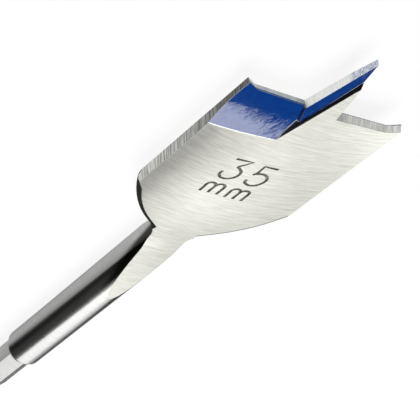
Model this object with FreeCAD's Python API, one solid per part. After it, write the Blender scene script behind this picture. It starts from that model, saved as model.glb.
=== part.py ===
"""A 35 mm spade drill bit, forged and ground from one steel rod.

Frame: X runs along the drilling axis from the rear end of the hex shank to the tip, the marked
face of the blade looks up along +Z, and +Y is the half whose upper face carries the ground
cutting groove. Half a turn about X leaves the bit as it is, so every ground feature is modelled
once, for the +Y half, and repeated by that half turn. Places along the blade are measured back
from the tip, as the bit is ground. All lengths are in millimetres.
"""
import FreeCAD, Part
import math
import os

V = FreeCAD.Vector

# Lengths along the axis
overall_length = 152.0       # rear end face to tip
hex_length = 25.0            # hex shank, up to the cone
cone_length = 1.8            # cone between the hex and the round shaft
shoulder_start = 51.1        # tip to the corners where the parallel sides end
ramp_start = 66.5            # tip to the place where the flats begin to climb out of the blade

# Sections
cutting_diameter = 35.0
blade_thickness = 2.5
shaft_diameter = 8.6
hex_across_flats = 6.35
hex_end_chamfer = 0.8

# Groove round the shank for the ball of a quick-change holder
detent_from_end = 9.5
detent_radius = 2.4
detent_neck_diameter = 5.0

# Forged shoulders, from the parallel sides down to the neck
shoulder_drop = 12.1         # length of the large arc along the axis
shoulder_inset = 9.6         # the same across the blade
shoulder_bulge = 1.0         # how far the large arc stands out from its chord
corner_radius = 3.0          # between the parallel side and the large arc
neck_angle = 53.0            # lean of the shoulder against the axis where the neck fillet begins
neck_fillet = 4.5
neck_half_width = 4.0
neck_tail = 0.9              # how far the neck runs on inside the round shaft

# Flats that climb from the blade and run out on the round shaft
ramp_steep_angle = 17.0
ramp_gentle_angle = 6.4
ramp_lower_radius = 12.0
ramp_upper_radius = 15.0

# Centre point
point_half_slope = 0.2244    # half width gained for each millimetre back from the tip
point_relief = 0.233         # sideways relief of the flanks for each millimetre below the face
web_half = 0.45              # half of the web left between the two grooves at the axis
point_rake = 0.15            # rise of the rake face for each millimetre outward

# Lips and spurs
lip_back = 16.1              # tip to the lip's edge at its middle
lip_middle = 11.0            # distance of the lip's middle from the axis
lip_edge_height = 0.3        # height of the lip's edge above the blade's middle plane
lip_rise = 0.045             # rise of the lip for each millimetre outward
lip_relief = 0.274           # how far the lip falls back for each millimetre below its edge
spur_width = 2.5             # foot of the spur, measured in from the cutting diameter
spur_slope = 0.55            # rise of the spur for each millimetre outward
spur_fillet = 1.6
side_relief = 0.06           # half width lost for each millimetre below the leading face

# Hollow groove ground below each lip, and the wall that ends it
groove_radius = 44.5
groove_bottom = 18.5         # tip to the deepest line of the groove
groove_edge_height = 0.1     # height of that line above the middle plane, at the blade's side
groove_tilt = 0.02           # rise of the groove for each millimetre towards the axis
groove_crease = 27.0         # tip to the crease where the groove runs out on the flat
wall_from_axis = 2.57        # distance of the wall from the axis, at the crease
wall_slope = 0.1868          # lean of the wall towards the axis for each millimetre to the tip
wall_draft = 0.3             # lean of the wall outward for each millimetre of depth
step_back = 20.3             # tip to the foot of the step between lip groove and point
step_from_axis = 2.0         # distance of that foot from the axis
step_slope = 0.512           # how far the step moves out for each millimetre to the tip

# Leading margin of each face, rolled off a little by the grinding belt
margin_radius = 300.0
margin_clear = 0.005         # height over the face at which the rolled surface begins
margin_near_back = 27.0      # line where the margin begins: its end at the groove
margin_near_out = 5.0
margin_far_back = 45.0       # and its end near the side
margin_far_out = 16.5

# Cutting tools overrun the steel by this much
overrun = 5.0

half_thickness = blade_thickness / 2
half_width = cutting_diameter / 2
shaft_radius = shaft_diameter / 2
blade_end = ramp_start + overrun
tool_height = shaft_diameter
tool_reach = half_width + overrun


def at(back, out, up=0.0):
    """The point that lies so far back from the tip, out from the axis and up."""
    return V(overall_length - back, out, up)


def face_of(points):
    """A flat face inside a closed polygon."""
    return Part.Face(Part.makePolygon(list(points) + [points[0]]))


def leaning_prism(outline, lean_out):
    """A prism over an outline of (back, out) pairs that moves out as it goes down."""
    points = [at(back, out - lean_out * tool_height, tool_height) for back, out in outline]
    return face_of(points).extrude(V(0, 2 * lean_out * tool_height, -2 * tool_height))


def outside_of(line, lean_out):
    """Everything outside a straight line on the +Y half, given as out = line(back)."""
    front, rear = -overrun, blade_end
    far = tool_reach + abs(line(front)) + abs(line(rear))
    return leaning_prism([(front, line(front)), (rear, line(rear)), (rear, far), (front, far)], lean_out)


def half_turn(shape):
    """The same feature on the other half of the bit."""
    return shape.rotated(V(0, 0, 0), V(1, 0, 0), 180)


def mirror_y(point):
    return V(point.x, -point.y, point.z)


def shoulder_edges():
    """One shoulder from its side corner to the end of the neck: arc, straight, fillet, straight."""
    corner = at(shoulder_start, half_width)
    arc_end = at(shoulder_start + shoulder_drop, half_width - shoulder_inset)
    chord = arc_end.sub(corner)
    outward = V(chord.y, -chord.x, 0).normalize()
    crown = corner + chord * 0.5 + outward * shoulder_bulge
    turn = math.radians(neck_angle)
    descent = arc_end.y - neck_half_width - neck_fillet * (1 - math.cos(turn))
    centre = V(arc_end.x - descent / math.tan(turn) - neck_fillet * math.sin(turn),
               neck_half_width + neck_fillet, 0)

    def on_fillet(angle):
        return centre + V(math.sin(angle), -math.cos(angle), 0) * neck_fillet

    neck_end = on_fillet(0) - V(neck_tail, 0, 0)
    edges = [Part.Arc(corner, crown, arc_end).toShape(), Part.makeLine(arc_end, on_fillet(turn)),
             Part.Arc(on_fillet(turn), on_fillet(turn / 2), on_fillet(0)).toShape(),
             Part.makeLine(on_fillet(0), neck_end)]
    return corner, edges, neck_end


def blade_blank():
    """The flattened end of the rod before it is brought to thickness, with shoulders and neck."""
    corner, edges, neck_end = shoulder_edges()
    front = at(0, half_width)
    mirrored = [edge.mirror(V(0, 0, 0), V(0, 1, 0)) for edge in edges]
    straights = [Part.makeLine(neck_end, mirror_y(neck_end)), Part.makeLine(corner, front),
                 Part.makeLine(mirror_y(corner), mirror_y(front)), Part.makeLine(front, mirror_y(front))]
    outline = Part.Wire(Part.__sortEdges__(edges + mirrored + straights))
    blank = Part.Face(outline).extrude(V(0, 0, 2 * tool_height))
    blank.translate(V(0, 0, -tool_height))
    upright = [edge for edge in blank.Edges
               if abs(edge.BoundBox.XLength) < 1e-6 and abs(edge.CenterOfMass.x - corner.x) < 1e-6]
    return blank.makeFillet(corner_radius, upright)


def flat_profile():
    """Side view of the flats: blade thickness, then two arcs and a gentle climb to the shaft."""
    steep = math.radians(ramp_steep_angle)
    gentle = math.radians(ramp_gentle_angle)

    def lower(angle):
        return at(ramp_start + ramp_lower_radius * math.sin(angle), 0,
                  half_thickness + ramp_lower_radius * (1 - math.cos(angle)))

    knee = lower(steep)

    def upper(angle):
        return knee + V(math.sin(angle) - math.sin(steep), 0,
                        math.cos(angle) - math.cos(steep)) * ramp_upper_radius

    crest = upper(gentle)
    climb = tool_height - crest.z
    top = crest + V(-climb / math.tan(gentle), 0, climb)
    nose = at(-overrun, 0, half_thickness)
    tail = V(min(top.x, 0) - overrun, 0, top.z)
    edges = [Part.makeLine(nose, lower(0)), Part.Arc(lower(0), lower(steep / 2), knee).toShape(),
             Part.Arc(knee, upper((steep + gentle) / 2), crest).toShape(),
             Part.makeLine(crest, top), Part.makeLine(top, tail)]
    below = [edge.mirror(V(0, 0, 0), V(0, 0, 1)) for edge in edges]
    ends = [Part.makeLine(tail, V(tail.x, 0, -tail.z)), Part.makeLine(V(nose.x, 0, -nose.z), nose)]
    outline = Part.Wire(Part.__sortEdges__(edges + below + ends))
    slab = Part.Face(outline).extrude(V(0, 2 * tool_reach, 0))
    slab.translate(V(0, -tool_reach, 0))
    return slab


def forging():
    """Round shaft and flattened blade in one, before any grinding."""
    shaft_start = hex_length + cone_length
    shaft_end = overall_length - shoulder_start - shoulder_drop
    shaft = Part.makeCylinder(shaft_radius, shaft_end - shaft_start, V(shaft_start, 0, 0), V(1, 0, 0))
    return shaft.fuse(blade_blank()).common(flat_profile())


def beside_point():
    """Everything outside the flank of the centre point, on the +Y half."""
    return outside_of(lambda back: point_half_slope * back, -point_relief)


def ahead_of_lip():
    """Everything in front of the lip and its spur, falling back as it goes down."""
    def lip(out):
        return lip_back - lip_rise * (out - lip_middle)

    foot = half_width - spur_width
    spur_end = lip(foot) - spur_slope * (tool_reach - foot)
    lip_angle = math.atan(lip_rise)
    spur_angle = math.atan(spur_slope)
    tangent = spur_fillet * math.tan((spur_angle - lip_angle) / 2)

    def along(angle, distance):
        return V(math.sin(angle), math.cos(angle), 0) * distance

    corner = at(lip(foot), foot)
    before = corner - along(lip_angle, tangent)
    after = corner + along(spur_angle, tangent)
    centre = before + V(math.cos(lip_angle), -math.sin(lip_angle), 0) * spur_fillet
    half_angle = (lip_angle + spur_angle) / 2
    middle = centre + V(-math.cos(half_angle), math.sin(half_angle), 0) * spur_fillet
    inner = at(lip(-overrun), -overrun)
    outer = at(spur_end, tool_reach)
    ahead = max(inner.x, outer.x, overall_length) + overrun
    outline = Part.Wire([Part.makeLine(inner, before), Part.Arc(before, middle, after).toShape(),
                         Part.makeLine(after, outer), Part.makeLine(outer, V(ahead, outer.y, 0)),
                         Part.makeLine(V(ahead, outer.y, 0), V(ahead, inner.y, 0)),
                         Part.makeLine(V(ahead, inner.y, 0), inner)])
    face = Part.Face(outline)
    face.translate(V(lip_relief * (tool_height - lip_edge_height), 0, tool_height))
    return face.extrude(V(-2 * lip_relief * tool_height, 0, -2 * tool_height))


def side_land():
    """The sliver ground off the +Y side, so that only its upper edge has the full diameter."""
    edge = half_width - side_relief * half_thickness
    return outside_of(lambda back: edge, -side_relief)


def beyond_wall():
    """Everything outside the wall that ends both grooves towards the flat, on the +Y half."""
    middle = wall_from_axis + wall_draft * half_thickness
    return outside_of(lambda back: middle - wall_slope * (groove_crease - back), wall_draft)


def beyond_step():
    """Everything outside the step that stands between the lip groove and the point."""
    return outside_of(lambda back: step_from_axis + step_slope * (step_back - back), 0)


def above_point_rake():
    """The space over the rake face of the centre point."""
    def rake(out):
        return V(overall_length + overrun, out, web_half + point_rake * out)

    inner, outer = rake(-tool_reach), rake(tool_reach)
    lid = V(0, 0, tool_reach)
    return face_of([inner, outer, outer + lid, inner + lid]).extrude(V(-blade_end, 0, 0))


def above_lip_groove():
    """The space over the hollow ground face below the lip."""
    floor = groove_edge_height - groove_tilt * overrun
    half_length = groove_bottom + overrun

    def hollow(back):
        rise = groove_radius - math.sqrt(groove_radius ** 2 - (back - groove_bottom) ** 2)
        return at(back, tool_reach, floor + rise)

    front, rear = hollow(groove_bottom - half_length), hollow(groove_bottom + half_length)
    lid = V(0, 0, tool_height)
    outline = Part.Wire([Part.Arc(front, hollow(groove_bottom), rear).toShape(),
                         Part.makeLine(rear, rear + lid), Part.makeLine(rear + lid, front + lid),
                         Part.makeLine(front + lid, front)])
    return Part.Face(outline).extrude(V(0, -tool_reach, groove_tilt * tool_reach))


def rolled_margin():
    """The thin wedge taken off the leading side of the face, fading out towards the shoulder."""
    end = at(margin_near_back, margin_near_out)
    run = end.sub(at(margin_far_back, margin_far_out))
    start = end.sub(run * 2)
    outward = V(-run.y, run.x, 0).normalize() * tool_reach
    axis_height = half_thickness + margin_clear - margin_radius
    roller = Part.makeCylinder(margin_radius, 2 * run.Length, start + V(0, 0, axis_height), run)
    block = face_of([start, end, end + outward, start + outward]).extrude(V(0, 0, tool_height))
    return block.cut(roller)


def ground_blade(blank):
    """The forging with its margins, side lands, lips, point and grooves ground."""
    wall = beyond_wall()
    step = beyond_step()
    cuts = [rolled_margin(), side_land(), beside_point().common(ahead_of_lip()),
            above_lip_groove().common(wall).common(step), above_point_rake().common(wall).cut(step)]
    for cut in cuts:
        blank = blank.cut(cut).cut(half_turn(cut))
    return blank


def hex_corner(index):
    angle = math.radians(60 * index)
    return V(0, math.sin(angle), math.cos(angle)) * (hex_across_flats / math.sqrt(3))


def shank():
    """Hex shank with a chamfered end and a ball groove, and the cone up to the round shaft."""
    body = face_of([hex_corner(i) for i in range(6)]).extrude(V(hex_length + cone_length, 0, 0))
    end_radius = hex_corner(0).Length - hex_end_chamfer
    bevel = Part.makeCone(end_radius, end_radius + overall_length, overall_length, V(0, 0, 0), V(1, 0, 0))
    groove = Part.makeTorus(detent_neck_diameter / 2 + detent_radius, detent_radius,
                            V(detent_from_end, 0, 0), V(1, 0, 0))
    cone = Part.makeCone(hex_across_flats / 2, shaft_radius, cone_length, V(hex_length, 0, 0), V(1, 0, 0))
    return body.common(bevel).cut(groove).fuse(cone)


os.makedirs("parts", exist_ok=True)
bit = ground_blade(forging()).fuse(shank()).removeSplitter()
print("solids", len(bit.Solids), "valid", bit.isValid(), "volume", round(bit.Volume, 1))
bit.exportStep("parts/spade_bit.step")
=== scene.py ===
# %% [markdown]
# # A 35 mm spade drill bit, lying on a white table
# The bit is one piece of steel: a hex shank, a round shaft, and a blade that is forged flat and
# then ground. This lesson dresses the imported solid. It copies the solid's mesh, softens its
# edges, cuts the size mark into it, gives every ground, polished, forged and painted surface its
# own finish, and lights the bit like a catalogue picture.
#
# Everything is in metres and in the solid's own frame: X runs along the axis from the end of
# the shank to the tip, the marked face looks up along +Z, and +Y is the half whose upper face
# carries the painted groove. The solid is the same after half a turn about X, so most steps
# look at one half only and take the other along. Lengths are written in millimetres and turned
# into metres with MM.

import math
import bmesh
import bpy
from mathutils import Matrix, Vector


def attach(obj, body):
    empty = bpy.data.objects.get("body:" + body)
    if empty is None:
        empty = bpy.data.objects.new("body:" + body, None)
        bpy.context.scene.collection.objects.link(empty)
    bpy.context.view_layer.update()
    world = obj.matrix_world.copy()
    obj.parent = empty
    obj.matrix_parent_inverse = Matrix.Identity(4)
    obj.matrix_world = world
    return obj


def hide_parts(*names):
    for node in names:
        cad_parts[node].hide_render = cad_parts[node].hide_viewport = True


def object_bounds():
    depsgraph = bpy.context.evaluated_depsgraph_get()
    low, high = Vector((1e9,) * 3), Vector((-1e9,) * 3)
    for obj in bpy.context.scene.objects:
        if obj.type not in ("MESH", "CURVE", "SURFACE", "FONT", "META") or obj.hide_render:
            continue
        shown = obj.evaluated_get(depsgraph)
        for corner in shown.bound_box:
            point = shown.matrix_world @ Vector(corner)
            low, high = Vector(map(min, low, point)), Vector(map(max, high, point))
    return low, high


MM = 0.001
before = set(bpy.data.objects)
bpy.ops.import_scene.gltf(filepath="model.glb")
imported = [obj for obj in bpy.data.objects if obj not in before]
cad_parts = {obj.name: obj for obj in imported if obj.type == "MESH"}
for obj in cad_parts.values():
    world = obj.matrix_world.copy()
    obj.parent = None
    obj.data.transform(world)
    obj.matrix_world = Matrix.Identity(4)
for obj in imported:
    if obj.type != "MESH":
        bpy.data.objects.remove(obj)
solid_box = [list(corner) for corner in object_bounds()]
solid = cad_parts["spade_bit"]
print("solid box", solid_box, "faces", len(solid.data.polygons))

# %% [markdown]
# ## The camera
# The picture was taken with a long lens from above the blade's tip, looking back along the
# shaft, and it was turned upside down afterwards, so the tip points up and to the right. The
# camera is placed first, because every finish is judged through it. A track quaternion gives a
# level camera, and one more turn about the line of sight gives the picture's roll.

# %% Place the camera
camera_at = Vector((347.895, 193.489, 174.264)) * MM
camera_looks_at = Vector((95.808, -2.628, 0.0)) * MM
camera_roll = math.radians(173.198)

camera = bpy.data.objects.new("camera", bpy.data.cameras.new("camera"))
camera.data.sensor_width = 36.0
camera.data.lens = 158.1
camera.data.clip_start = 0.01
level = (camera_looks_at - camera_at).to_track_quat("-Z", "Y").to_matrix()
turned = level @ Matrix.Rotation(camera_roll, 3, "Z")
camera.matrix_world = Matrix.Translation(camera_at) @ turned.to_4x4()
bpy.context.scene.collection.objects.link(camera)
bpy.context.scene.camera = camera
print("camera", round((camera_looks_at - camera_at).length, 3), "m from the blade")

# %% [markdown]
# ## Helpers for node materials
# A finish is a Principled shader with a few nodes that vary its colour, roughness and bump.
# Nodes could be placed and linked one by one, but that takes three lines for each. These helpers
# keep a finish short: one makes the material and sets the plain values on the shader's own
# sockets, one adds a node and sets or links its inputs by name, and one links to the shader.

# %% Helpers for node materials
def new_finish(name, **sockets):
    """A material with plain values on its shader's sockets; returns the material and shader."""
    material = bpy.data.materials.new(name)
    material.use_nodes = True
    shader = material.node_tree.nodes["Principled BSDF"]
    for socket, value in sockets.items():
        shader.inputs[socket.replace("_", " ")].default_value = value
    return material, shader


def add_node(material, kind, settings=None, **inputs):
    """A new node; inputs are numbers, colours or sockets, by name or by number as in _0."""
    node = material.node_tree.nodes.new(kind)
    for name, value in (settings or {}).items():
        setattr(node, name, value)
    for name, value in inputs.items():
        key = int(name[1:]) if name[1:].isdigit() else name.replace("_", " ")
        if isinstance(value, bpy.types.NodeSocket):
            material.node_tree.links.new(value, node.inputs[key])
        else:
            node.inputs[key].default_value = value
    return node


def plug(material, output, shader, socket):
    """Links an output to one socket of a shader."""
    material.node_tree.links.new(output, shader.inputs[socket])


# %% [markdown]
# ## Helpers for places and masks
# Much of what makes steel look real depends on where it is: lines bend across the blade, paint
# ends at an edge, polish fades towards the neck. Painted textures would need a UV map. Object
# coordinates need none, because they are the solid's own frame, so a mask such as "from 76 to
# 104 mm along the axis" can be written down as it is measured.

# %% Helpers for places and masks
def place(material):
    """Object coordinates as one vector and as separate X, Y and Z outputs."""
    where = add_node(material, "ShaderNodeTexCoord")
    parts = add_node(material, "ShaderNodeSeparateXYZ", _0=where.outputs["Object"])
    return where.outputs["Object"], parts.outputs[0], parts.outputs[1], parts.outputs[2]


def maths(material, operation, one, two=0.0, three=0.0):
    """The output of one math node."""
    settings = {"operation": operation}
    return add_node(material, "ShaderNodeMath", settings, _0=one, _1=two, _2=three).outputs[0]


def vector(material, x, y, z):
    """Three numbers or outputs joined to a vector."""
    return add_node(material, "ShaderNodeCombineXYZ", _0=x, _1=y, _2=z).outputs[0]


def between(material, value, low, high):
    """0 below low, 1 above high (both in mm), and a smooth ramp between them."""
    node = add_node(material, "ShaderNodeMapRange", {"interpolation_type": "SMOOTHSTEP"},
                    Value=value, From_Min=low * MM, From_Max=high * MM)
    return node.outputs[0]


def opposite(material, mask):
    """1 where the mask is 0, and 0 where it is 1."""
    return maths(material, "SUBTRACT", 1.0, mask)


# %% [markdown]
# ## The white table
# In the picture the bit lies on pure white. A bright lamp could bleach the table, but it would
# bleach the steel as well. So for the camera and for reflections most of the table's light is a
# plain white glow, which keeps it white in the steel too, and the rest is ordinary matt shading,
# which keeps the bit's soft shadow. The table touches the shaft from below.

# %% Make the white table
table_size = 6.0
table_glow_share = 0.88
under_shaft = solid_box[0][2] - 0.02 * MM

white_table, shader = new_finish("white_table", Base_Color=(0.9, 0.9, 0.9, 1), Roughness=0.9)
rays = add_node(white_table, "ShaderNodeLightPath")
camera_or_mirror = add_node(white_table, "ShaderNodeMath", {"operation": "MAXIMUM"},
                            _0=rays.outputs["Is Camera Ray"], _1=rays.outputs["Is Glossy Ray"])
direct = add_node(white_table, "ShaderNodeMath", {"operation": "MAXIMUM"},
                  _0=camera_or_mirror.outputs[0], _1=rays.outputs["Is Transmission Ray"])
share = maths(white_table, "MULTIPLY", direct.outputs[0], table_glow_share)
glow = add_node(white_table, "ShaderNodeEmission", Color=(1, 1, 1, 1), Strength=1.0)
mixed = add_node(white_table, "ShaderNodeMixShader", _0=share, _1=shader.outputs[0],
                 _2=glow.outputs[0])
surface = white_table.node_tree.nodes["Material Output"]
plug(white_table, mixed.outputs[0], surface, "Surface")

bpy.ops.mesh.primitive_plane_add(size=table_size, location=(0, 0, under_shaft))
table = bpy.context.object
table.name = "table"
table.data.materials.append(white_table)
print("table at", round(under_shaft / MM, 2), "mm, under the shaft")

# %% [markdown]
# ## The pale wall
# Seen from low down, the table ends at a dim horizon. A brighter room would hide that, but it
# would also flatten the steel, which needs dark places to mirror. So a wide round wall stands on
# the table and only the camera sees it: it neither lights nor shades the bit.

# %% Put a pale wall round the table
wall_height = 3.0
wall_middle = 1.4
bpy.ops.mesh.primitive_cylinder_add(radius=table_size * 0.45, depth=wall_height, vertices=96,
                                    location=(0, 0, wall_middle), end_fill_type="NOTHING")
wall = bpy.context.object
wall.name = "pale_wall"
wall.data.materials.append(white_table)
wall.visible_glossy = wall.visible_diffuse = wall.visible_shadow = False
print("wall", round(table_size * 0.9, 2), "m across")

# %% [markdown]
# ## The soft boxes
# Polished steel shows the room, so the room is built from a few large lamps in a dim studio. The
# main box hangs flat overhead and ends on one side where the picture's reflections end: that
# edge splits the paint into a dark and a pale half. Two more boxes follow behind the shank, where
# the flat face and the shaft's bright band mirror them. A small one lights the ground edges from
# the tip, and one at the side shows the flat face as brushed steel to anyone who looks from the
# far side. A box's energy grows with its size, so the number given is its brightness.

# %% Hang the soft boxes
def soft_box(name, low, high, facing, brightness):
    """A rectangular lamp that fills a flat box from low to high (mm) and shines along facing."""
    low, high = Vector(low) * MM, Vector(high) * MM
    lamp = bpy.data.objects.new(name, bpy.data.lights.new(name, "AREA"))
    turn = Vector(facing).to_track_quat("-Z", "Y")
    across, along = turn @ Vector((1, 0, 0)), turn @ Vector((0, 1, 0))
    span = high - low
    lamp.data.shape = "RECTANGLE"
    lamp.data.size = sum(abs(a * b) for a, b in zip(across, span))
    lamp.data.size_y = sum(abs(a * b) for a, b in zip(along, span))
    lamp.data.energy = brightness * math.pi * lamp.data.size * lamp.data.size_y
    lamp.matrix_world = Matrix.Translation((low + high) / 2) @ turn.to_matrix().to_4x4()
    lamp.visible_camera = False
    bpy.context.scene.collection.objects.link(lamp)
    print(name, round(lamp.data.size, 3), "x", round(lamp.data.size_y, 3), "m")


down, back_along_x, towards_bit = (0, 0, -1), (-1, 0, 0), (0, -1, 0)
soft_box("overhead_box", (-230, -304, 400), (250, 148, 400), down, 3.7)
soft_box("middle_box", (-1000, -280, 400), (-230, 135, 400), down, 1.85)
soft_box("far_box", (-1000, -780, 400), (-490, -280, 400), down, 2.05)
soft_box("fill_box", (500, 100, 150), (500, 500, 450), back_along_x, 0.6)
soft_box("side_box", (50, 700, 120), (900, 700, 700), towards_bit, 0.9)

# %% [markdown]
# ## The black cards
# A photographer holds black cards beside shiny metal, because without something dark to mirror
# it looks like grey plastic. A tall card on the -Y side and a flat one beyond it draw the dark
# line along the shaft's far edge. On the +Y side a low card and a flat one before it part the
# table's grey from the dim room, which gives the shaft its dark band. The flat one appears
# gradually along Y, since a hard edge would draw a line on the shaft. Only reflections see them.

# %% Set up the black cards
def black_card(name, corners, fade=None):
    """A card that only reflections see; fade is the stretch of Y (mm) over which it appears."""
    mesh = bpy.data.meshes.new(name)
    mesh.from_pydata([Vector(corner) * MM for corner in corners], [], [range(len(corners))])
    card = bpy.data.objects.new(name, mesh)
    material, shader = new_finish(name, Base_Color=(0, 0, 0, 1), Roughness=1.0,
                                  Specular_IOR_Level=0.0)
    if fade:
        y = place(material)[2]
        clear = add_node(material, "ShaderNodeBsdfTransparent")
        mixed = add_node(material, "ShaderNodeMixShader", _0=between(material, y, *fade),
                         _1=clear.outputs[0], _2=shader.outputs[0])
        plug(material, mixed.outputs[0], material.node_tree.nodes["Material Output"], "Surface")
    mesh.materials.append(material)
    card.visible_camera = card.visible_diffuse = card.visible_shadow = False
    bpy.context.scene.collection.objects.link(card)
    print(name, "with", len(corners), "corners")


near_table = -4.2
black_card("blade_card", [(12, -44, 2), (110, -44, 2), (110, -44, 62), (12, -44, 62)])
black_card("wall_card", [(-200, 40, near_table), (135, 40, near_table), (135, 40, 12),
                         (-200, 40, 12)])
black_card("floor_card", [(-200, 5, near_table), (74, 5, near_table), (74, 60, near_table),
                          (-200, 60, near_table)], fade=(3, 24))
black_card("low_card", [(-250, -200, near_table), (60, -200, near_table), (60, -40, near_table),
                        (-250, -40, near_table)])

# %% [markdown]
# ## The dim room
# What the boxes and cards leave open is the room itself. It is white but very weak, so that no
# part of the steel turns quite black. The Standard view transform shows colours as written.

# %% Dim the room
room_strength = 0.04
studio = bpy.data.worlds.new("studio")
studio.use_nodes = True
background = studio.node_tree.nodes["Background"]
background.inputs["Color"].default_value = (1, 1, 1, 1)
background.inputs["Strength"].default_value = room_strength
bpy.context.scene.world = studio
bpy.context.scene.view_settings.view_transform = "Standard"
print("room strength", room_strength)

# %% [markdown]
# ## A clean copy of the solid
# The solid's mesh is never changed, so the bit that shows is a copy. The imported mesh has every
# flat face split into triangles and tiny slivers where curved faces meet. Rounding an edge needs
# whole faces and corners that are really shared, so the copy is welded, its flat faces are joined
# again, and corners that lie closer than 0.08 mm become one.

# %% Copy the solid
weld = 0.001 * MM
sliver = 0.08 * MM
flat_angle = math.radians(0.1)

shape = bmesh.new()
shape.from_mesh(solid.data)
bmesh.ops.remove_doubles(shape, verts=shape.verts, dist=weld)
bmesh.ops.dissolve_limit(shape, angle_limit=flat_angle, verts=shape.verts, edges=shape.edges)
bmesh.ops.remove_doubles(shape, verts=shape.verts, dist=sliver)
print("clean mesh", len(shape.verts), "corners", len(shape.faces), "faces")

# %% [markdown]
# ## Which face gets which finish
# On the real bit each surface shows the tool that made it. The mesh carries no such names, and
# picking faces by number would break with any change to the solid. So faces that meet smoothly
# are gathered into patches, and each patch is judged by where its middle lies and which way it
# faces. An island search does the gathering: it starts at one face and spreads over every edge
# that is nearly flat.

# %% Gather smooth patches
finishes = ["brushed_face", "ground_side", "ground_lip", "ground_point", "forged_side",
            "polished_shaft", "blue_paint", "shaded_paint", "dark_wall", "engraved", "edge",
            "bright_edge"]
smooth_step = math.radians(6)


def smooth_patches(mesh, largest_step):
    """Groups of faces that meet at less than the largest step."""
    patches, seen = [], set()
    for first in mesh.faces:
        if first in seen:
            continue
        patch, waiting = [], [first]
        seen.add(first)
        while waiting:
            face = waiting.pop()
            patch.append(face)
            for edge in face.edges:
                for other in edge.link_faces:
                    if other not in seen and edge.calc_face_angle(0) < largest_step:
                        seen.add(other)
                        waiting.append(other)
        patches.append(patch)
    return patches


patches = smooth_patches(shape, smooth_step)
print("patches", len(patches))

# %% [markdown]
# ## Where a patch lies
# Large faces should count for more than slivers, so the middle and the normal are weighted by
# area. A patch on the -Y half is turned half round, so that one set of rules serves both halves.

# %% Find a patch's middle
def middle_of(patch):
    """Middle (mm), normal and area (mm2) of a patch, turned to the +Y half."""
    weights = [face.calc_area() for face in patch]
    total = sum(weights)
    middle = sum((face.calc_center_median() * w for face, w in zip(patch, weights)), Vector())
    normal = sum((face.normal * w for face, w in zip(patch, weights)), Vector())
    middle, normal = middle / total / MM, normal / total
    if middle.y < 0:
        half_turn = Matrix.Rotation(math.pi, 3, "X")
        middle, normal = half_turn @ middle, half_turn @ normal
    return middle, normal, total / MM ** 2


largest = max(patches, key=lambda patch: middle_of(patch)[2])
print("largest patch", round(middle_of(largest)[2]), "mm2")

# %% [markdown]
# ## The rules
# The rules follow the bit from the tip back. The grooves are short and lie next to the tip, the
# flat faces and their ramps look up or down, the sides look outward, and the lips and the point
# lie in front. What is left on the blade is the forged shoulder, and all the rest is shaft.

# %% Sort the faces
tip = 152.0
shaft_radius = 4.3
groove_reach, lip_reach, side_reach, blade_reach, face_reach = 25, 22, 52, 70, 90
groove_top = 1.2
ramp_end = 84
point_width = 3.9


def finish_of(patch):
    """The name of a patch's finish; back is its distance behind the tip."""
    (x, y, z), normal, area = middle_of(patch)
    back = tip - x
    level, outward = abs(normal.z), normal.y
    on_shaft = abs(math.hypot(y, z) - shaft_radius) <= 0.1
    if back < groove_reach and area > 1 and z > 0:
        if level > 0.9 and z < groove_top:
            return "blue_paint"
        if outward > 0.5 and y < 4 and level < 0.5:
            return "dark_wall" if normal.x > 0 else "shaded_paint"
    if back < face_reach and level > 0.8 and not (x < ramp_end and on_shaft):
        return "brushed_face"
    if back < side_reach and abs(outward) > 0.9 and y > 16:
        return "ground_side"
    if back < lip_reach:
        return "ground_point" if y < point_width else "ground_lip"
    if back < blade_reach and level < 0.5 and not on_shaft:
        return "forged_side"
    return "polished_shaft"


areas = {name: 0.0 for name in finishes}
for patch in patches:
    name = finish_of(patch)
    for face in patch:
        face.material_index = finishes.index(name)
        areas[name] += face.calc_area() / MM ** 2
print("mm2 of each finish", {name: round(area) for name, area in areas.items()})

# %% [markdown]
# ## The groove's wall leans
# The grinding wheel leaves a steep wall between the groove and the point. Towards the tip its
# foot runs out a little, so the wall leans more. The solid has the plain wall. Here only the
# corners along its foot are pushed outward, most near the tip and not at all at the crease where
# the groove begins. The floor's height is worked out again, to find those corners.

# %% Lean the groove's wall
half_width = 17.5
face_height = 1.25
crease_back, wall_end = 27.0, 20
floor_lowest_back, floor_radius = 18.5, 44.5
floor_at_side, floor_rise = 0.1, 0.02
foot_at_crease, foot_slant, wall_slope = 2.57, 0.1868, 0.3
wall_lean, lean_reach, lean_run = 0.9, 2.5, 6.0
near_wall = {"dark_wall", "blue_paint", "shaded_paint"}


def groove_floor(y, back):
    """Height of the groove's curved floor; back is the distance behind the tip."""
    curve = (back - floor_lowest_back) ** 2 / (2 * floor_radius)
    return floor_at_side + floor_rise * (half_width - y) + curve


def wall_foot(back):
    """Y of the wall's lower edge."""
    slant = foot_at_crease - foot_slant * (crease_back - back)
    return slant + wall_slope * (face_height - groove_floor(2, back))


for corner in shape.verts:
    side = 1 if corner.co.y > 0 else -1
    y, z = side * corner.co.y / MM, side * corner.co.z / MM
    back = tip - corner.co.x / MM
    touched = {finishes[face.material_index] for face in corner.link_faces}
    if not touched <= near_wall or not wall_end < back < crease_back:
        continue
    near = 1 - (y - wall_foot(back)) / lean_reach
    if abs(z - groove_floor(y, back)) < 0.05 and near > 0:
        push = wall_lean * min(near, 1) * (crease_back - back) / lean_run
        corner.co.y += side * push * MM
        print("leaned", round(push, 2), "mm at", round(back, 2), "mm behind the tip")

# %% [markdown]
# ## The underside of the tip
# The light strip along the point keeps its full height right up to the tip, where the solid's
# point gets thin on both faces. Two corners on the underside are lowered, so that the strip
# stays broad from this side. Moving two corners keeps the mesh closed, which a new strip of
# faces would not do by itself.

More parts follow.
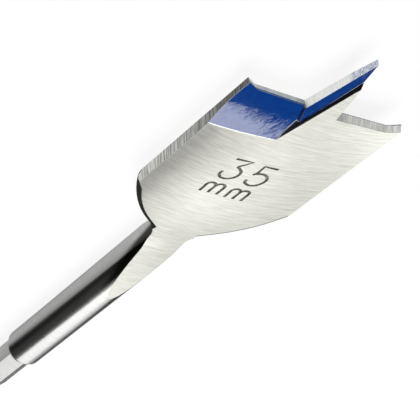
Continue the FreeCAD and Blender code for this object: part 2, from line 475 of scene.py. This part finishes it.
# %% Fill the tip's underside
lowered_corners = {(5.46, 1.16, -0.28): -1.15, (0.0, -0.11, -0.47): -0.95}
for (back, y, z), lower in lowered_corners.items():
    for corner in shape.verts:
        if (corner.co - Vector((tip - back, y, z)) * MM).length < 0.05 * MM:
            corner.co.z = lower * MM
            print("lowered the corner", back, "mm behind the tip to", lower)

# %% [markdown]
# ## The underside of the neck
# In the picture the shaft's outline stays straight until it disappears behind the shoulder. The
# solid's lower ramp thins the neck before that. The corners of the lower ramp are let down along
# a short table of distances and depths, where nothing but the outline shows them.

# %% Fill the neck's underside
neck_fill = [(72.0, 0.0), (77.0, 0.2), (80.0, 0.5), (83.0, 0.85), (85.5, 0.95), (87.2, 0.4),
             (88.8, 0.0)]
neck_width = 7.5


def filled(x):
    """How far (mm) the neck's underside is let down at a distance x from the shank's end."""
    for (start, low), (end, high) in zip(neck_fill, neck_fill[1:]):
        if start <= x < end:
            return low + (high - low) * (x - start) / (end - start)
    return 0.0


for corner in shape.verts:
    x, y, z = corner.co / MM
    on_flat = any(finishes[face.material_index] == "brushed_face" for face in corner.link_faces)
    if z < 0 and abs(y) < neck_width and on_flat and filled(x):
        corner.co.z -= filled(x) * MM
        print("lowered the neck at", round(x, 1), "by", round(filled(x), 2))

# %% [markdown]
# ## Soft edges
# No real edge is perfectly sharp, and a thin line of light along each edge is what makes metal
# look solid. A bevel modifier would treat all edges alike. Here each kind of edge gets its own
# radius and finish: the forged shoulders are broad and dark, the crease where the paint begins
# is bright, paint covers the cutting edges, and all other edges are barely broken. Some stay as
# they are, because the ball groove and the curved shoulders leave no room for a rounding.

# %% Helpers for soft edges
edge_radius = 0.04 * MM
crease_radius = 0.09 * MM
shoulder_radius = 0.9 * MM
sharp_angle = math.radians(28)
paint_angle = 0.05
left_sharp = [(7.0, 12.0), (84.2, 101.6)]
shoulder_start, shoulder_end = 86.4, 102


def meets(edge, one, other):
    """True where a face of one finish meets a face of the other."""
    return {finishes[face.material_index] for face in edge.link_faces} == {one, other}


def on_shoulder(edge):
    """True for the curved edges between the forged shoulders and the flat faces."""
    ends = [corner.co.x / MM for corner in edge.verts]
    inside = min(ends) > shoulder_start and max(ends) < shoulder_end
    return inside and meets(edge, "forged_side", "brushed_face")


def under_paint(edge):
    """True for the edges that the paint covers: the small step and the cutting edges."""
    return meets(edge, "blue_paint", "shaded_paint") or meets(edge, "blue_paint", "ground_lip")


def on_crease(edge):
    """True where the painted groove begins."""
    return meets(edge, "blue_paint", "brushed_face")


def still_sharp(edge):
    """True for all other edges that get rounded."""
    if any(low < corner.co.x / MM < high for low, high in left_sharp for corner in edge.verts):
        return False
    paint_sides = sum(finishes[face.material_index] == "blue_paint" for face in edge.link_faces)
    angle = edge.calc_face_angle()
    wanted = angle > sharp_angle or (paint_sides == 1 and angle > paint_angle)
    return wanted and not under_paint(edge) and not on_crease(edge)


for kind in (on_shoulder, under_paint, on_crease, still_sharp):
    print(kind.__name__, sum(kind(edge) for edge in shape.edges), "edges")

# %% [markdown]
# ## Rounding in order
# The order matters: the broad shoulders come first, because they need the most room, and each
# later kind is looked up anew in the changed mesh. Where a shoulder ends, two corners lie too
# close for a broad rounding, so they are joined before. At the end, corners that fell on the
# same place are joined too, and the count of open edges has to be 0.

# %% Round the edges
def round_edges(mesh, wanted, radius, segments, finish):
    """Rounds the wanted edges and gives the new faces a finish."""
    edges = [edge for edge in mesh.edges if wanted(edge)]
    bmesh.ops.bevel(mesh, geom=edges, offset=radius, offset_type="OFFSET", segments=segments,
                    profile=0.5, affect="EDGES", clamp_overlap=False,
                    material=finishes.index(finish))
    print("rounded", len(edges), "edges for", finish, "-", len(mesh.faces), "faces now")


crowded_from, crowded_to, crowded_out, crowded_gap = 100.0, 100.95, 17.0, 0.5
crowded = [corner for corner in shape.verts
           if crowded_from < corner.co.x / MM < crowded_to
           and abs(corner.co.y) > crowded_out * MM]
bmesh.ops.remove_doubles(shape, verts=crowded, dist=crowded_gap * MM)
round_edges(shape, on_shoulder, shoulder_radius, 4, "forged_side")
round_edges(shape, under_paint, edge_radius, 2, "shaded_paint")
round_edges(shape, still_sharp, edge_radius, 2, "edge")
round_edges(shape, on_crease, crease_radius, 2, "bright_edge")
bmesh.ops.remove_doubles(shape, verts=shape.verts, dist=0.01 * MM)
bmesh.ops.dissolve_degenerate(shape, edges=shape.edges, dist=0.002 * MM)
print("open or crowded edges", sum(not edge.is_manifold for edge in shape.edges))

# %% [markdown]
# ## Helpers for tones and relief
# Every finish on this bit is made of the same few things: noise, stretched into lines or left
# as spots, two tones that it runs between, tints where the steel is stained, and a very shallow
# bump from the same noise, so that the light catches the lines that the eye sees.

# %% Helpers for tones and relief
def noise(material, at, scale, detail=2.0, roughness=0.5, distortion=0.0):
    """Noise at a place, with scale waves to the metre."""
    node = add_node(material, "ShaderNodeTexNoise", Vector=at, Scale=scale, Detail=detail,
                    Roughness=roughness, Distortion=distortion)
    return node.outputs["Fac"]


def two_tones(material, factor, dark, light, low=0.3, high=0.7):
    """The dark tone where the factor is low, the light tone where it is high."""
    ramp = add_node(material, "ShaderNodeValToRGB", Fac=factor)
    first, last = ramp.color_ramp.elements
    first.position, last.position = low, high
    first.color, last.color = (*dark, 1), (*light, 1)
    return ramp.outputs["Color"]


def tinted(material, colour, mask, tint, blend="MULTIPLY"):
    """The colour multiplied by a tint, or with MIX replaced by it, where the mask is 1."""
    node = add_node(material, "ShaderNodeMix", {"data_type": "RGBA", "blend_type": blend},
                    _0=mask, _6=colour, _7=(*tint, 1))
    return node.outputs[2]


def bump(material, shader, height, depth):
    """Relief on the shader's normal; returns the bent normal."""
    node = add_node(material, "ShaderNodeBump", Height=height, Distance=depth, Strength=1.0)
    plug(material, node.outputs[0], shader, "Normal")
    return node.outputs[0]


relief = 0.004 * MM
made = {}

# %% [markdown]
# ## The brushed face
# A belt grinder leaves fine lines across the blade. They are not straight but bend in a wide
# arc, and they spread the light at right angles to themselves, which gives the face its broad
# sheen. The lines are noise that is squeezed along the arc. The sheen comes from an anisotropic
# shader whose tangent fans out across the blade and turns faster near the +Y edge, where the
# picture's face darkens. Without the fan the whole face would have one flat tone.
# The colour also carries painted shade: it is darker on the ramps towards the neck and near the +Y
# edge.

# %% Make the brushed face
arc_radius = 48 * MM
fan_radius = 54 * MM
turned_edge = 13 * MM


def brushed_face():
    """Belt-ground steel with arched lines, a fanned-out sheen, and painted shade on the ramps and
    near the +Y edge.
    """
    material, shader = new_finish("brushed_face", Metallic=1.0, Roughness=0.45, Anisotropic=0.9)
    _, x, y, z = place(material)
    bend = maths(material, "MULTIPLY", y, y)
    arc = maths(material, "MULTIPLY_ADD", bend, -0.5 / arc_radius, x)
    thin = vector(material, arc, maths(material, "MULTIPLY", y, 0.05), z)
    wide = vector(material, arc, maths(material, "MULTIPLY", y, 0.06), z)
    fine = noise(material, thin, 4600, 3, 0.6)
    broad = noise(material, wide, 1700, 2, 0.5)
    grain = maths(material, "ADD", maths(material, "MULTIPLY", fine, 0.75),
                  maths(material, "MULTIPLY", broad, 0.25))
    colour = two_tones(material, grain, (0.65, 0.65, 0.585), (0.99, 0.99, 0.915))
    # Painted shade: darker on the ramps towards the neck, which dims their highlights.
    ramp_painted_shade = opposite(material, between(material, x, 76, 104))
    colour = tinted(material, colour, ramp_painted_shade, (0.64, 0.64, 0.64))
    # Painted shade: darker near the +Y edge, where the face curls away from the light.
    colour = tinted(material, colour, between(material, y, 12.5, 17), (0.76, 0.76, 0.76))
    plug(material, colour, shader, "Base Color")
    outward = maths(material, "MULTIPLY", maths(material, "MAXIMUM", y, 0.0), 1 / turned_edge)
    turn = maths(material, "MULTIPLY_ADD", maths(material, "POWER", outward, 4.0), 0.42, 1.0)
    slope = maths(material, "MULTIPLY", maths(material, "MULTIPLY", y, -1.0 / fan_radius), turn)
    plug(material, vector(material, 1.0, slope, 0.0), shader, "Tangent")
    bump(material, shader, fine, relief)
    return material


made["brushed_face"] = brushed_face()
print("made", *made)

# %% [markdown]
# ## Straight grinding lines
# The sides, the lips and the point were pressed against a wheel, which leaves short straight
# lines. One helper serves them all, and the smooth shaft too. It stretches noise along one axis,
# lays the tangent along the lines, and lets stains and painted light be laid over the steel: real
# paint where it was sprayed, and painted shade or highlights where the steel lies in shade or
# catches the light. The rim is how much light the steel returns at a grazing angle.

# %% Helper for ground steel
def ground(name, tones, stretch, along=(1, 0, 0), roughness=0.4, anisotropy=0.7, rim=(1, 1, 1),
           stains_and_painted_light=None):
    """Steel with straight grinding lines; stretch squeezes the noise along each axis."""
    material, shader = new_finish(name, Metallic=1.0, Roughness=roughness,
                                  Anisotropic=anisotropy, Specular_Tint=(*rim, 1))
    at, x, y, z = place(material)
    scaled = add_node(material, "ShaderNodeVectorMath", {"operation": "MULTIPLY"},
                      _0=at, _1=stretch)
    lines = noise(material, scaled.outputs[0], 1000, 3, 0.6)
    colour = two_tones(material, lines, *tones)
    if stains_and_painted_light:
        colour = stains_and_painted_light(material, colour, at, x, y, z)
    plug(material, colour, shader, "Base Color")
    plug(material, vector(material, *along), shader, "Tangent")
    bump(material, shader, lines, relief)
    return material


def upper_half_from(material, x, y, start, full):
    """A mask that grows along X from start to full, on the +Y half."""
    return maths(material, "MULTIPLY", between(material, x, start, full),
                 between(material, y, -1, 1))


# %% [markdown]
# ## The ground side
# The long side of the blade has strong lines across its thickness. Towards the painted groove the
# +Y side is darker, and beside the shoulder it is paler and smoother.

# %% Make the ground side
def side_tones(material, colour, at, x, y, z):
    """Darker towards the groove on the +Y half, and paler beside the shoulder."""
    darker_towards_tip = upper_half_from(material, x, y, 108, 134)
    colour = tinted(material, colour, darker_towards_tip, (0.24, 0.255, 0.255))
    start = maths(material, "MULTIPLY", opposite(material, between(material, x, 99, 107)), 0.65)
    return tinted(material, colour, start, (0.62, 0.62, 0.60), "MIX")


made["ground_side"] = ground("ground_side", ((0.12, 0.12, 0.11), (0.82, 0.82, 0.78)),
                             (2.6, 0.5, 0.2), stains_and_painted_light=side_tones)
print("made", *made)

# %% [markdown]
# ## The point's flanks
# The point is ground bright. Only its last few millimetres are speckled with the paint that was
# sprayed on the groove beside it. The specks are fine noise with a narrow ramp, which turns soft
# noise into spots with clear edges.

# %% Make the point's flanks
def point_stains(material, colour, at, x, y, z):
    """Specks of paint near the tip."""
    specks = two_tones(material, noise(material, at, 4200, 3, 0.7), (0, 0, 0), (1, 1, 1),
                       0.42, 0.55)
    mask = maths(material, "MULTIPLY", between(material, x, 145, 146.8), specks)
    return tinted(material, colour, mask, (0.32, 0.41, 0.62))


made["ground_point"] = ground("ground_point", ((0.70, 0.70, 0.68), (0.92, 0.92, 0.90)),
                              (3.0, 0.5, 0.3), stains_and_painted_light=point_stains)
print("made", *made)

# %% [markdown]
# ## The lips
# The narrow strip behind each cutting edge carries painted shade at its root and a painted
# highlight on the spur. On the painted side some paint has run over the cutting edge. That run is
# a mask on the height above the lip: noise moves its border up and down, so that it ends raggedly
# as real paint does.

# %% Make the lips
paint_reach = 0.33 * MM
paint_rag = 0.25 * MM
run_from, run_to = 0.46, 0.62
lip_rise = 0.02


def lip_stains_and_light(material, colour, at, x, y, z):
    """A dull +Y lip, painted shade at the root, a painted highlight on the spur, and paint that
    ran over the cutting edge.
    """
    colour = tinted(material, colour, upper_half_from(material, x, y, 120, 121), (0.64, 0.69, 0.74))
    out = maths(material, "ABSOLUTE", y)
    # Painted shade: the lip is darker at its root beside the point.
    root = opposite(material, between(material, out, 4, 6.5))
    colour = tinted(material, colour, root, (0.58, 0.60, 0.62))
    # Painted highlight: the lip is brighter on the spur.
    colour = tinted(material, colour, between(material, out, 14.3, 15.2), (1.25, 1.25, 1.25))
    height = maths(material, "MULTIPLY", z, maths(material, "SIGN", y))
    height = maths(material, "MULTIPLY_ADD", out, lip_rise, height)
    reach = maths(material, "MULTIPLY", between(material, y, -1, 1), paint_reach)
    ragged = maths(material, "MULTIPLY_ADD", noise(material, at, 2500, 2), paint_rag, reach)
    run = between(material, maths(material, "ADD", height, ragged), run_from, run_to)
    return tinted(material, colour, run, (0.01, 0.05, 0.19), "MIX")


made["ground_lip"] = ground("ground_lip", ((0.45, 0.45, 0.43), (0.80, 0.80, 0.77)),
                            (0.4, 4.0, 0.4), (0, 1, 0), 0.35, stains_and_painted_light=lip_stains_and_light)
print("made", *made)

# %% [markdown]
# ## The polished shaft
# The shaft mirrors the studio in long bands: a grey one from the table, a dark one from the dim
# room and a bright one from the boxes. The room makes those bands, so the finish only adds faint
# lines. Near the neck the dark band widens into a wedge of shade beside the blade, and painted
# shade gives that wedge without changing the shape. Near the neck the dark band widens into a
# wedge, perhaps because the real shaft is a little flattened there. A stain gives that wedge
# without changing the shape.

# %% Make the polished shaft
wedge_slope = 0.2
wedge_from, wedge_to = 15.3, 16.8


def neck_shade(material, colour, at, x, y, z):
    """Painted shade: a dark wedge that widens where the shaft rises into the blade."""
    rise = maths(material, "MULTIPLY_ADD", x, wedge_slope, z)
    wedge = maths(material, "MULTIPLY", between(material, rise, wedge_from, wedge_to),
                  between(material, y, 2.4, 3.0))
    return tinted(material, colour, wedge, (0.12, 0.12, 0.11))


made["polished_shaft"] = ground("polished_shaft", ((0.46, 0.46, 0.45), (0.54, 0.54, 0.525)),
                                (3.0, 0.5, 0.5), roughness=0.3, anisotropy=0.4,
                                rim=(0.48, 0.48, 0.49), stains_and_painted_light=neck_shade)
print("made", *made)

# %% [markdown]
# ## The blue paint
# The paint in the grooves is a glossy enamel, sprayed on over rough grinding. Its gloss is a
# clear coat over a matt blue, and the picture's wisps are the edge of the overhead box, torn by
# small waves in the coat. Fine noise would only blur that edge. So the relief is kept to two
# sizes of wave: slanted streaks from the grinding below, and a slower flow of the paint.

# %% Make the blue paint
streak_slant = 0.55
wave_height = 0.02 * MM


def blue_paint():
    """Glossy blue enamel with slanted streaks in its coat."""
    material, shader = new_finish("blue_paint", Roughness=0.5, Specular_IOR_Level=0.0,
                                  Coat_Weight=1.0, Coat_Roughness=0.025, Coat_IOR=1.7)
    at, x, y, z = place(material)
    tone = noise(material, at, 900, 3, 0.6)
    colour = two_tones(material, tone, (0.0035, 0.034, 0.185), (0.005, 0.046, 0.24))
    plug(material, colour, shader, "Base Color")
    along = maths(material, "MULTIPLY_ADD", y, -streak_slant, x)
    across = maths(material, "MULTIPLY_ADD", x, streak_slant, y)
    stretched = vector(material, maths(material, "MULTIPLY", along, 0.35), across, z)
    streaks = noise(material, stretched, 2000, 2, 0.6, 0.4)
    flow = noise(material, at, 500, 1, 0.5)
    waves = maths(material, "MULTIPLY_ADD", streaks, 0.6, flow)
    plug(material, bump(material, shader, waves, wave_height), shader, "Coat Normal")
    return material


made["blue_paint"] = blue_paint()
print("made", *made)

# %% [markdown]
# ## The engraved mark
# The size is engraved and blackened. The strokes are not evenly black: steel shines through
# where the black has worn off. Spots of a warm dark brown and a dull grey give that.

# %% Make the engraved finish
def engraved():
    """Worn black in the strokes of the size mark."""
    material, shader = new_finish("engraved", Metallic=0.4, Roughness=0.6)
    spots = noise(material, place(material)[0], 3600, 3, 0.6)
    colour = two_tones(material, spots, (0.035, 0.028, 0.018), (0.34, 0.31, 0.235), 0.44, 0.64)
    plug(material, colour, shader, "Base Color")
    return material


made["engraved"] = engraved()
print("made", *made)

# %% [markdown]
# ## Dark surfaces
# Three narrow surfaces are nearly black in the picture, and their colour is painted shade: the
# forged shoulder, the groove's wall and the paint on the small step all lie in shade. They are
# matt, with two close tones, because a polished wall would mirror the boxes and turn bright from
# other sides.

# %% Make the dark surfaces
def dark_surface(name, dark, light):
    """A matt, nearly black surface of painted shade, with a slow change of tone."""
    material, shader = new_finish(name, Roughness=0.8, Specular_IOR_Level=0.1)
    tone = noise(material, place(material)[0], 1500, 3)
    plug(material, two_tones(material, tone, dark, light), shader, "Base Color")
    return material


for name, dark, light in [
        # Painted shade: these three surfaces are nearly black because they lie in shade.
        ("forged_side", (0.006, 0.006, 0.005), (0.020, 0.020, 0.017)),
        ("shaded_paint", (0.001, 0.006, 0.045), (0.002, 0.014, 0.09)),
        ("dark_wall", (0.006, 0.006, 0.010), (0.016, 0.015, 0.024))]:
    made[name] = dark_surface(name, dark, light)
print("made", *made)

# %% [markdown]
# ## The edges
# The tiny roundings are too small to show lines, so they have tones but no grain. The crease
# behind the paint shines in the picture, and the other edges are a duller grey, which is painted
# shade that dims their highlights.

# %% Make the edges
for name, dark, light in [
        ("bright_edge", (0.85, 0.85, 0.83), (0.97, 0.97, 0.95)),
        # Painted shade: a darker grey that dims the highlights on the other edges.
        ("edge", (0.28, 0.28, 0.27), (0.42, 0.42, 0.405))]:
    made[name] = ground(name, (dark, light), (1, 1, 1), anisotropy=0.0)
print("made", *made)

# %% [markdown]
# ## The piece
# The shape becomes an object of its own. It stands for the imported solid, which is hidden, and
# rides on the root body. Its own slots hold the finishes in the order of the list, because the
# faces carry numbers, not names.

# %% Make the piece
bit_mesh = bpy.data.meshes.new("drill_bit")
for name in finishes:
    bit_mesh.materials.append(made[name])
shape.to_mesh(bit_mesh)
shape.free()
bit = bpy.data.objects.new("drill_bit", bit_mesh)
bpy.context.scene.collection.objects.link(bit)
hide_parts("spade_bit")
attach(bit, "root")
print("drill_bit", len(bit_mesh.vertices), "corners", len(bit_mesh.polygons), "faces")

# %% [markdown]
# ## The strokes of the size mark
# The mark is a plain number and its unit, written by a round cutter that follows thin lines. A
# font would give the wrong letter shapes. So each stroke is a curve through a few points, in mm
# across and up from the letter's lower left corner, and a round rod along it is the cutter's
# path. The rod's middle lies just above the face, so less than half of it cuts.

# %% Lay the strokes
stroke_radius = 0.34
stroke_lift = 0.05
glyphs = {
    "3": [[(0.0, 7.05), (3.85, 7.2), (1.95, 4.65)],
          [(1.95, 4.65), (2.75, 4.2), (3.6, 3.4), (3.9, 2.4), (3.7, 1.25), (2.85, 0.3),
           (1.6, 0.0), (0.6, 0.5), (0.1, 1.4), (0.15, 2.3)]],
    "5": [[(3.6, 7.15), (0.5, 7.05), (0.6, 4.35), (0.15, 3.55)],
          [(0.35, 3.95), (1.7, 4.5), (2.9, 4.2), (3.55, 3.5), (3.8, 2.45), (3.5, 1.25),
           (2.9, 0.4), (2.05, 0.0), (1.1, 0.1), (0.25, 0.7), (0.05, 1.6)]],
    "m": [[(0.0, 0.0), (0.0, 1.5), (0.0, 2.9), (0.45, 3.45), (1.15, 3.55), (1.75, 3.1),
           (1.9, 2.4), (1.9, 1.2), (1.9, 0.0)],
          [(1.9, 2.4), (2.2, 3.3), (2.95, 3.7), (3.65, 3.4), (3.9, 2.5), (3.9, 1.2),
           (3.9, 0.0)]],
}
letters = [("3", 5.4, 109.0), ("5", -0.85, 108.85), ("m", 5.19, 103.3), ("m", -0.75, 103.1)]


def stroke(points, left, foot):
    """A round rod along a stroke; short strokes are straight lines, long ones are smooth."""
    curve = bpy.data.curves.new("stroke", "CURVE")
    curve.dimensions = "3D"
    curve.bevel_depth = stroke_radius * MM
    curve.bevel_resolution = 3
    curve.use_fill_caps = True
    smooth = len(points) > 4
    spline = curve.splines.new("BEZIER")
    spline.bezier_points.add(len(points) - 1)
    spline.resolution_u = 5 if smooth else 1
    for knot, (across, up) in zip(spline.bezier_points, points):
        knot.co = Vector((foot + up, left - across, face_height + stroke_lift)) * MM
        knot.handle_left_type = knot.handle_right_type = "AUTO" if smooth else "VECTOR"
    rod = bpy.data.objects.new("stroke", curve)
    bpy.context.scene.collection.objects.link(rod)
    return rod


rods = [stroke(points, left, foot) for letter, left, foot in letters
        for points in glyphs[letter]]
print("strokes", len(rods))

# %% [markdown]
# ## Cutting the mark
# A bump could fake the mark, but it would vanish at the outline and in the exported mesh. A
# Boolean takes each rod out of the steel, so the strokes are real grooves. The rods are cut one
# after the other, because strokes of one letter cross, and a cutter should not pass through
# itself. The new faces keep the rod's material number, so that is set to the engraved finish.

# %% Cut the mark
def cut_stroke(piece, rod):
    """Takes one rod out of the piece; the new faces carry the engraved finish."""
    graph = bpy.context.evaluated_depsgraph_get()
    mesh = bpy.data.meshes.new_from_object(rod.evaluated_get(graph))
    for face in mesh.polygons:
        face.material_index = finishes.index("engraved")
    cutter = bpy.data.objects.new("cutter", mesh)
    bpy.context.scene.collection.objects.link(cutter)
    bpy.context.view_layer.update()
    cut = piece.modifiers.new("cut", "BOOLEAN")
    cut.operation, cut.object = "DIFFERENCE", cutter
    cut.solver, cut.material_mode = "EXACT", "INDEX"
    with bpy.context.temp_override(object=piece, active_object=piece, selected_objects=[piece]):
        bpy.ops.object.modifier_apply(modifier=cut.name)
    bpy.data.objects.remove(cutter)
    bpy.data.objects.remove(rod)


faces_before = len(bit.data.polygons)
for rod in rods:
    cut_stroke(bit, rod)
print("faces", faces_before, "->", len(bit.data.polygons))

# %% [markdown]
# ## Smooth and sharp
# Smooth shading makes the shaft and the roundings look round. It must stop where the real
# surface breaks: between two finishes, at a step of more than 25 degrees, and round the two flat
# faces, which would otherwise look pillowed at their borders. So every face is smooth, and the
# edges at those places are marked sharp.

# %% Shade the piece
smooth_limit = math.radians(25)


def sharpen(piece):
    """Smooth shading that stops where two finishes or a flat face meet something else."""
    mesh = bmesh.new()
    mesh.from_mesh(piece.data)
    for face in mesh.faces:
        face.smooth = True
    print("open or crowded edges", sum(not edge.is_manifold for edge in mesh.edges))
    for edge in mesh.edges:
        if edge.is_manifold:
            one, other = edge.link_faces
            flats = [abs(face.normal.z) > 0.99999 for face in edge.link_faces]
            edge.smooth = (one.material_index == other.material_index
                           and edge.calc_face_angle() < smooth_limit and flats[0] == flats[1])
    print("sharp edges", sum(not edge.smooth for edge in mesh.edges))
    mesh.to_mesh(piece.data)
    mesh.free()


sharpen(bit)
